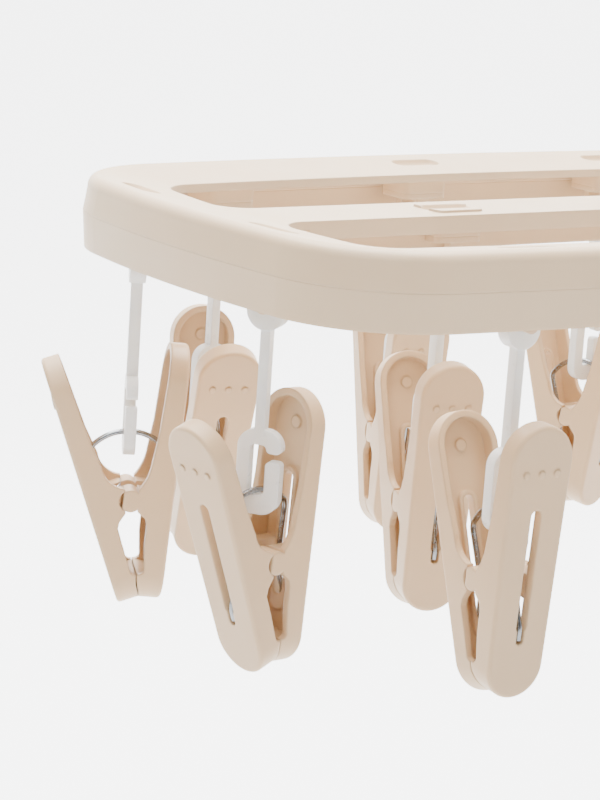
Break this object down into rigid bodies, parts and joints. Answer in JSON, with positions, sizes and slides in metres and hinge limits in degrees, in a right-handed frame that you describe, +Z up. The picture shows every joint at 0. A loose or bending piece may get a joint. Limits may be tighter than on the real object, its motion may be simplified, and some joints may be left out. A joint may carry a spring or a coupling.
{
  "type": "clip drying hanger",
  "caption": "Hanging clothes dryer: long rounded frame with a centre bar, a swivelling hook above, and clothes clips hanging below on small plastic links.",
  "frame": {"origin": "centre of the hanging hook's crown, on the axis of the rail it hangs on", "axes": "+Z up; X along the frame's long side and across the hook's mouth; Y across the frame and along the rail"},
  "size_m": [0.3642, 0.1843, 0.2281],
  "materials": {
    "frame_plastic": "smooth satin moulded polypropylene, warm beige",
    "clip_plastic": "satin moulded polypropylene, slightly darker beige",
    "link_plastic": "slightly translucent white moulded plastic",
    "spring_steel": "bright drawn spring wire"
  },
  "bodies": {
    "hook": {"hanging_hook": "frame_plastic", "hook_washer": "link_plastic", "retaining_cap": "frame_plastic"},
    "frame": {"frame": "frame_plastic"},
    "link_01": {"link_01": "link_plastic"},
    "clip_01": {"nose_lever_01": "clip_plastic", "clip_spring_01": "spring_steel"},
    "seat_lever_01": {"seat_lever_01": "clip_plastic"},
    "link_02": {"link_02": "link_plastic"},
    "clip_02": {"nose_lever_02": "clip_plastic", "clip_spring_02": "spring_steel"},
    "seat_lever_02": {"seat_lever_02": "clip_plastic"},
    "link_03": {"link_03": "link_plastic"},
    "clip_03": {"nose_lever_03": "clip_plastic", "clip_spring_03": "spring_steel"},
    "seat_lever_03": {"seat_lever_03": "clip_plastic"},
    "link_04": {"link_04": "link_plastic"},
    "clip_04": {"nose_lever_04": "clip_plastic", "clip_spring_04": "spring_steel"},
    "seat_lever_04": {"seat_lever_04": "clip_plastic"},
    "link_05": {"link_05": "link_plastic"},
    "clip_05": {"nose_lever_05": "clip_plastic", "clip_spring_05": "spring_steel"},
    "seat_lever_05": {"seat_lever_05": "clip_plastic"},
    "link_06": {"link_06": "link_plastic"},
    "clip_06": {"nose_lever_06": "clip_plastic", "clip_spring_06": "spring_steel"},
    "seat_lever_06": {"seat_lever_06": "clip_plastic"},
    "link_07": {"link_07": "link_plastic"},
    "clip_07": {"nose_lever_07": "clip_plastic", "clip_spring_07": "spring_steel"},
    "seat_lever_07": {"seat_lever_07": "clip_plastic"},
    "link_08": {"link_08": "link_plastic"},
    "clip_08": {"nose_lever_08": "clip_plastic", "clip_spring_08": "spring_steel"},
    "seat_lever_08": {"seat_lever_08": "clip_plastic"},
    "link_09": {"link_09": "link_plastic"},
    "clip_09": {"nose_lever_09": "clip_plastic", "clip_spring_09": "spring_steel"},
    "seat_lever_09": {"seat_lever_09": "clip_plastic"},
    "link_10": {"link_10": "link_plastic"},
    "clip_10": {"nose_lever_10": "clip_plastic", "clip_spring_10": "spring_steel"},
    "seat_lever_10": {"seat_lever_10": "clip_plastic"},
    "link_11": {"link_11": "link_plastic"},
    "clip_11": {"nose_lever_11": "clip_plastic", "clip_spring_11": "spring_steel"},
    "seat_lever_11": {"seat_lever_11": "clip_plastic"},
    "link_12": {"link_12": "link_plastic"},
    "clip_12": {"nose_lever_12": "clip_plastic", "clip_spring_12": "spring_steel"},
    "seat_lever_12": {"seat_lever_12": "clip_plastic"},
    "link_13": {"link_13": "link_plastic"},
    "clip_13": {"nose_lever_13": "clip_plastic", "clip_spring_13": "spring_steel"},
    "seat_lever_13": {"seat_lever_13": "clip_plastic"},
    "link_14": {"link_14": "link_plastic"},
    "clip_14": {"nose_lever_14": "clip_plastic", "clip_spring_14": "spring_steel"},
    "seat_lever_14": {"seat_lever_14": "clip_plastic"}
  },
  "joints": [
    {"name": "frame_turn", "type": "hinge", "parent": "hook", "child": "frame", "pos_m": [0, 0, -0.085], "axis": [0, 0, 1], "continuous": true},
    {"name": "link_swing_01", "type": "hinge", "parent": "frame", "child": "link_01", "pos_m": [-0.1565, 0.037, -0.1053], "axis": [0.8829, -0.4695, 0], "range_deg": [-15, 15]},
    {"name": "clip_swing_01", "type": "hinge", "parent": "link_01", "child": "clip_01", "pos_m": [-0.1565, 0.037, -0.154], "axis": [0.8988, -0.4384, 0], "range_deg": [-15, 15]},
    {"name": "squeeze_01", "type": "hinge", "parent": "clip_01", "child": "seat_lever_01", "pos_m": [-0.15596, 0.03674, -0.17176], "axis": [0.4384, 0.8988, 0], "range_deg": [0, 15], "stiffness_Nm_per_rad": 0.35, "springref_deg": -20.05, "deforming": ["clip_spring_01"]},
    {"name": "link_swing_02", "type": "hinge", "parent": "frame", "child": "link_02", "pos_m": [-0.1125, 0.065, -0.1053], "axis": [0, -1, 0], "range_deg": [-15, 15]},
    {"name": "clip_swing_02", "type": "hinge", "parent": "link_02", "child": "clip_02", "pos_m": [-0.1125, 0.065, -0.154], "axis": [-0.309, -0.9511, 0], "range_deg": [-15, 15]},
    {"name": "squeeze_02", "type": "hinge", "parent": "clip_02", "child": "seat_lever_02", "pos_m": [-0.11229, 0.06564, -0.17175], "axis": [-0.9511, 0.309, 0], "range_deg": [0, 15], "stiffness_Nm_per_rad": 0.35, "springref_deg": -20.05, "deforming": ["clip_spring_02"]},
    {"name": "link_swing_03", "type": "hinge", "parent": "frame", "child": "link_03", "pos_m": [-0.1565, -0.027, -0.1053], "axis": [0.809, 0.5878, 0], "range_deg": [-15, 15]},
    {"name": "clip_swing_03", "type": "hinge", "parent": "link_03", "child": "clip_03", "pos_m": [-0.1565, -0.027, -0.154], "axis": [0.9903, 0.1392, 0], "range_deg": [-15, 15]},
    {"name": "squeeze_03", "type": "hinge", "parent": "clip_03", "child": "seat_lever_03", "pos_m": [-0.15583, -0.02691, -0.17175], "axis": [-0.1392, 0.9903, 0], "range_deg": [0, 15], "stiffness_Nm_per_rad": 0.35, "springref_deg": -20.05, "deforming": ["clip_spring_03"]},
    {"name": "link_swing_04", "type": "hinge", "parent": "frame", "child": "link_04", "pos_m": [-0.0386, 0.069, -0.1053], "axis": [0, -1, 0], "range_deg": [-15, 15]},
    {"name": "clip_swing_04", "type": "hinge", "parent": "link_04", "child": "clip_04", "pos_m": [-0.0386, 0.069, -0.154], "axis": [-0.2756, -0.9613, 0], "range_deg": [-15, 15]},
    {"name": "squeeze_04", "type": "hinge", "parent": "clip_04", "child": "seat_lever_04", "pos_m": [-0.03868, 0.06871, -0.17179], "axis": [0.9613, -0.2756, 0], "range_deg": [0, 15], "stiffness_Nm_per_rad": 0.35, "springref_deg": -20.05, "deforming": ["clip_spring_04"]},
    {"name": "link_swing_05", "type": "hinge", "parent": "frame", "child": "link_05", "pos_m": [-0.08, 0, -0.1053], "axis": [0, -1, 0], "range_deg": [-15, 15]},
    {"name": "clip_swing_05", "type": "hinge", "parent": "link_05", "child": "clip_05", "pos_m": [-0.08, 0, -0.154], "axis": [-0.2756, -0.9613, 0], "range_deg": [-15, 15]},
    {"name": "squeeze_05", "type": "hinge", "parent": "clip_05", "child": "seat_lever_05", "pos_m": [-0.08014, -0.0005, -0.17177], "axis": [0.9613, -0.2756, 0], "range_deg": [0, 15], "stiffness_Nm_per_rad": 0.35, "springref_deg": -20.05, "deforming": ["clip_spring_05"]},
    {"name": "link_swing_06", "type": "hinge", "parent": "frame", "child": "link_06", "pos_m": [-0.1065, -0.0654, -0.1053], "axis": [0, 1, 0], "range_deg": [-15, 15]},
    {"name": "clip_swing_06", "type": "hinge", "parent": "link_06", "child": "clip_06", "pos_m": [-0.1065, -0.0654, -0.154], "axis": [0.0523, 0.9986, 0], "range_deg": [-15, 15]},
    {"name": "squeeze_06", "type": "hinge", "parent": "clip_06", "child": "seat_lever_06", "pos_m": [-0.10653, -0.066, -0.17176], "axis": [0.9986, -0.0523, 0], "range_deg": [0, 15], "stiffness_Nm_per_rad": 0.35, "springref_deg": -20.05, "deforming": ["clip_spring_06"]},
    {"name": "link_swing_07", "type": "hinge", "parent": "frame", "child": "link_07", "pos_m": [-0.0386, -0.069, -0.1053], "axis": [0, 1, 0], "range_deg": [-15, 15]},
    {"name": "clip_swing_07", "type": "hinge", "parent": "link_07", "child": "clip_07", "pos_m": [-0.0386, -0.069, -0.154], "axis": [0.1045, 0.9945, 0], "range_deg": [-15, 15]},
    {"name": "squeeze_07", "type": "hinge", "parent": "clip_07", "child": "seat_lever_07", "pos_m": [-0.03856, -0.06863, -0.17179], "axis": [-0.9945, 0.1045, 0], "range_deg": [0, 15], "stiffness_Nm_per_rad": 0.35, "springref_deg": -20.05, "deforming": ["clip_spring_07"]},
    {"name": "link_swing_08", "type": "hinge", "parent": "frame", "child": "link_08", "pos_m": [0.1565, 0.037, -0.1053], "axis": [-0.8829, -0.4695, 0], "range_deg": [-15, 15]},
    {"name": "clip_swing_08", "type": "hinge", "parent": "link_08", "child": "clip_08", "pos_m": [0.1565, 0.037, -0.154], "axis": [-0.8988, -0.4384, 0], "range_deg": [-15, 15]},
    {"name": "squeeze_08", "type": "hinge", "parent": "clip_08", "child": "seat_lever_08", "pos_m": [0.15596, 0.03674, -0.17176], "axis": [0.4384, -0.8988, 0], "range_deg": [0, 15], "stiffness_Nm_per_rad": 0.35, "springref_deg": -20.05, "deforming": ["clip_spring_08"]},
    {"name": "link_swing_09", "type": "hinge", "parent": "frame", "child": "link_09", "pos_m": [0.1125, 0.065, -0.1053], "axis": [0, -1, 0], "range_deg": [-15, 15]},
    {"name": "clip_swing_09", "type": "hinge", "parent": "link_09", "child": "clip_09", "pos_m": [0.1125, 0.065, -0.154], "axis": [0.309, -0.9511, 0], "range_deg": [-15, 15]},
    {"name": "squeeze_09", "type": "hinge", "parent": "clip_09", "child": "seat_lever_09", "pos_m": [0.11229, 0.06564, -0.17175], "axis": [-0.9511, -0.309, 0], "range_deg": [0, 15], "stiffness_Nm_per_rad": 0.35, "springref_deg": -20.05, "deforming": ["clip_spring_09"]},
    {"name": "link_swing_10", "type": "hinge", "parent": "frame", "child": "link_10", "pos_m": [0.1565, -0.027, -0.1053], "axis": [-0.809, 0.5878, 0], "range_deg": [-15, 15]},
    {"name": "clip_swing_10", "type": "hinge", "parent": "link_10", "child": "clip_10", "pos_m": [0.1565, -0.027, -0.154], "axis": [-0.9903, 0.1392, 0], "range_deg": [-15, 15]},
    {"name": "squeeze_10", "type": "hinge", "parent": "clip_10", "child": "seat_lever_10", "pos_m": [0.15583, -0.02691, -0.17175], "axis": [-0.1392, -0.9903, 0], "range_deg": [0, 15], "stiffness_Nm_per_rad": 0.35, "springref_deg": -20.05, "deforming": ["clip_spring_10"]},
    {"name": "link_swing_11", "type": "hinge", "parent": "frame", "child": "link_11", "pos_m": [0.0386, 0.069, -0.1053], "axis": [0, -1, 0], "range_deg": [-15, 15]},
    {"name": "clip_swing_11", "type": "hinge", "parent": "link_11", "child": "clip_11", "pos_m": [0.0386, 0.069, -0.154], "axis": [0.2756, -0.9613, 0], "range_deg": [-15, 15]},
    {"name": "squeeze_11", "type": "hinge", "parent": "clip_11", "child": "seat_lever_11", "pos_m": [0.03868, 0.06871, -0.17179], "axis": [0.9613, 0.2756, 0], "range_deg": [0, 15], "stiffness_Nm_per_rad": 0.35, "springref_deg": -20.05, "deforming": ["clip_spring_11"]},
    {"name": "link_swing_12", "type": "hinge", "parent": "frame", "child": "link_12", "pos_m": [0.08, 0, -0.1053], "axis": [0, -1, 0], "range_deg": [-15, 15]},
    {"name": "clip_swing_12", "type": "hinge", "parent": "link_12", "child": "clip_12", "pos_m": [0.08, 0, -0.154], "axis": [0.2756, -0.9613, 0], "range_deg": [-15, 15]},
    {"name": "squeeze_12", "type": "hinge", "parent": "clip_12", "child": "seat_lever_12", "pos_m": [0.08014, -0.0005, -0.17177], "axis": [0.9613, 0.2756, 0], "range_deg": [0, 15], "stiffness_Nm_per_rad": 0.35, "springref_deg": -20.05, "deforming": ["clip_spring_12"]},
    {"name": "link_swing_13", "type": "hinge", "parent": "frame", "child": "link_13", "pos_m": [0.1065, -0.0654, -0.1053], "axis": [0, 1, 0], "range_deg": [-15, 15]},
    {"name": "clip_swing_13", "type": "hinge", "parent": "link_13", "child": "clip_13", "pos_m": [0.1065, -0.0654, -0.154], "axis": [-0.0523, 0.9986, 0], "range_deg": [-15, 15]},
    {"name": "squeeze_13", "type": "hinge", "parent": "clip_13", "child": "seat_lever_13", "pos_m": [0.10653, -0.066, -0.17176], "axis": [0.9986, 0.0523, 0], "range_deg": [0, 15], "stiffness_Nm_per_rad": 0.35, "springref_deg": -20.05, "deforming": ["clip_spring_13"]},
    {"name": "link_swing_14", "type": "hinge", "parent": "frame", "child": "link_14", "pos_m": [0.0386, -0.069, -0.1053], "axis": [0, 1, 0], "range_deg": [-15, 15]},
    {"name": "clip_swing_14", "type": "hinge", "parent": "link_14", "child": "clip_14", "pos_m": [0.0386, -0.069, -0.154], "axis": [-0.1045, 0.9945, 0], "range_deg": [-15, 15]},
    {"name": "squeeze_14", "type": "hinge", "parent": "clip_14", "child": "seat_lever_14", "pos_m": [0.03856, -0.06863, -0.17179], "axis": [-0.9945, -0.1045, 0], "range_deg": [0, 15], "stiffness_Nm_per_rad": 0.35, "springref_deg": -20.05, "deforming": ["clip_spring_14"]}
  ]
}
